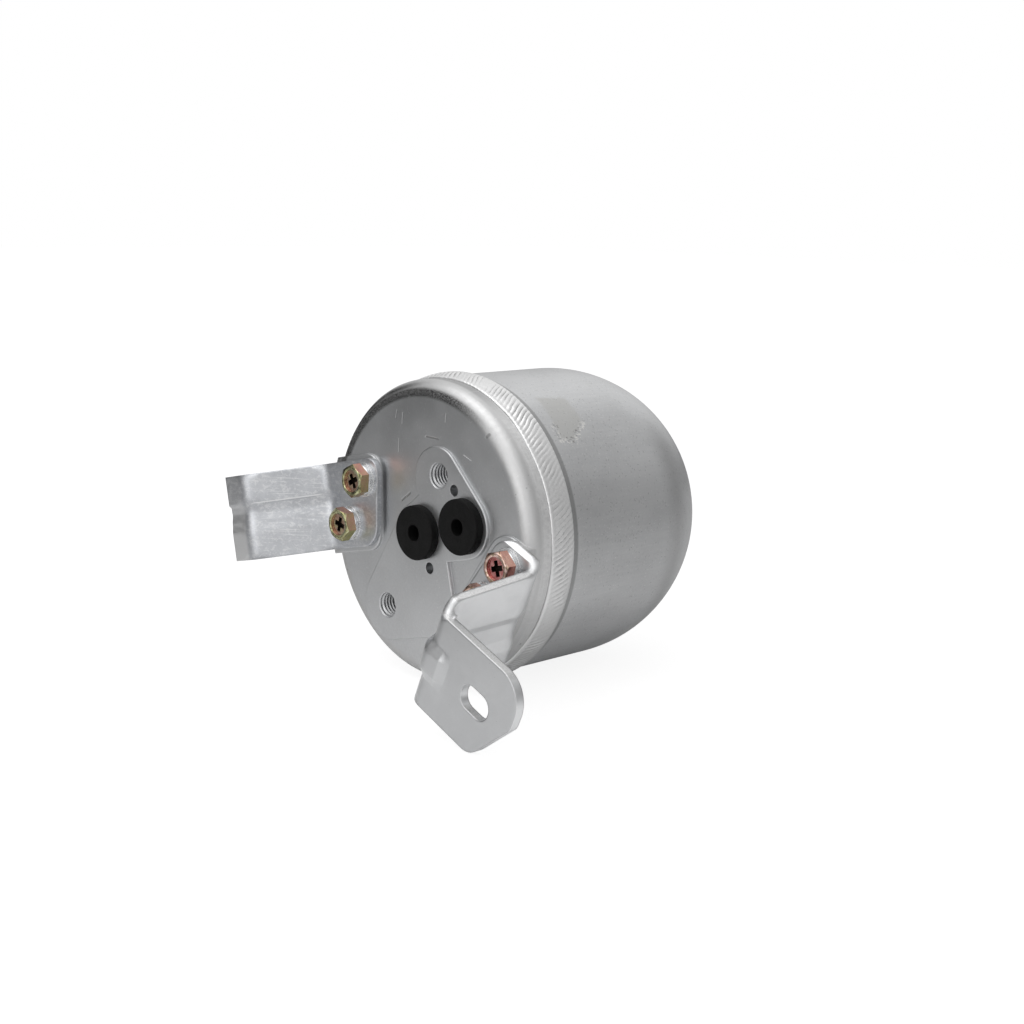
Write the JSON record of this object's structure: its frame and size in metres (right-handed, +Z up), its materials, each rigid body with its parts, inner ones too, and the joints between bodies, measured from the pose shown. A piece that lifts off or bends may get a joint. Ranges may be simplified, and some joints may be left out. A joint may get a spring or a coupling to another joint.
{
  "type": "receiver drier",
  "caption": "Aluminium air-conditioning receiver drier lying on its side, with a welded domed canister, a plugged connection header and pressed brackets.",
  "frame": {"origin": "on the canister's axis, halfway along its straight wall", "axes": "+Y along the canister's axis from the connection header towards the domed end, +Z up as it lies on its side, +X to the right as seen facing the header"},
  "size_m": [0.1596, 0.1344, 0.1024],
  "materials": {
    "header_aluminium": "satin",
    "canister_aluminium": "satin",
    "weld_aluminium": "satin",
    "plug_rubber": "matte",
    "side_bracket_metal": "satin",
    "foot_bracket_metal": "satin",
    "olive_zinc": "glossy",
    "pink_zinc": "glossy",
    "bright_zinc": "satin",
    "tube_aluminium": "satin",
    "strainer_plastic": "matte",
    "spring_steel": "satin",
    "plate_steel": "satin",
    "filter_felt": "matte",
    "desiccant": "matte"
  },
  "bodies": {
    "root": {"header": "header_aluminium", "canister": "canister_aluminium", "weld_bead": "weld_aluminium", "outlet_plug": "plug_rubber", "inlet_plug": "plug_rubber", "side_bracket": "side_bracket_metal", "foot_bracket": "foot_bracket_metal", "side_bracket_screws": "olive_zinc", "foot_bracket_screws": "pink_zinc", "side_spring_washers": "bright_zinc", "foot_spring_washers": "bright_zinc", "side_flat_washers": "bright_zinc", "foot_flat_washers": "bright_zinc", "pickup_tube": "tube_aluminium", "tube_strainer": "strainer_plastic", "hold_down_spring": "spring_steel", "front_perforated_plate": "plate_steel", "front_filter_pad": "filter_felt", "desiccant_bed": "desiccant", "rear_filter_pad": "filter_felt", "rear_perforated_plate": "plate_steel"}
  },
  "joints": []
}
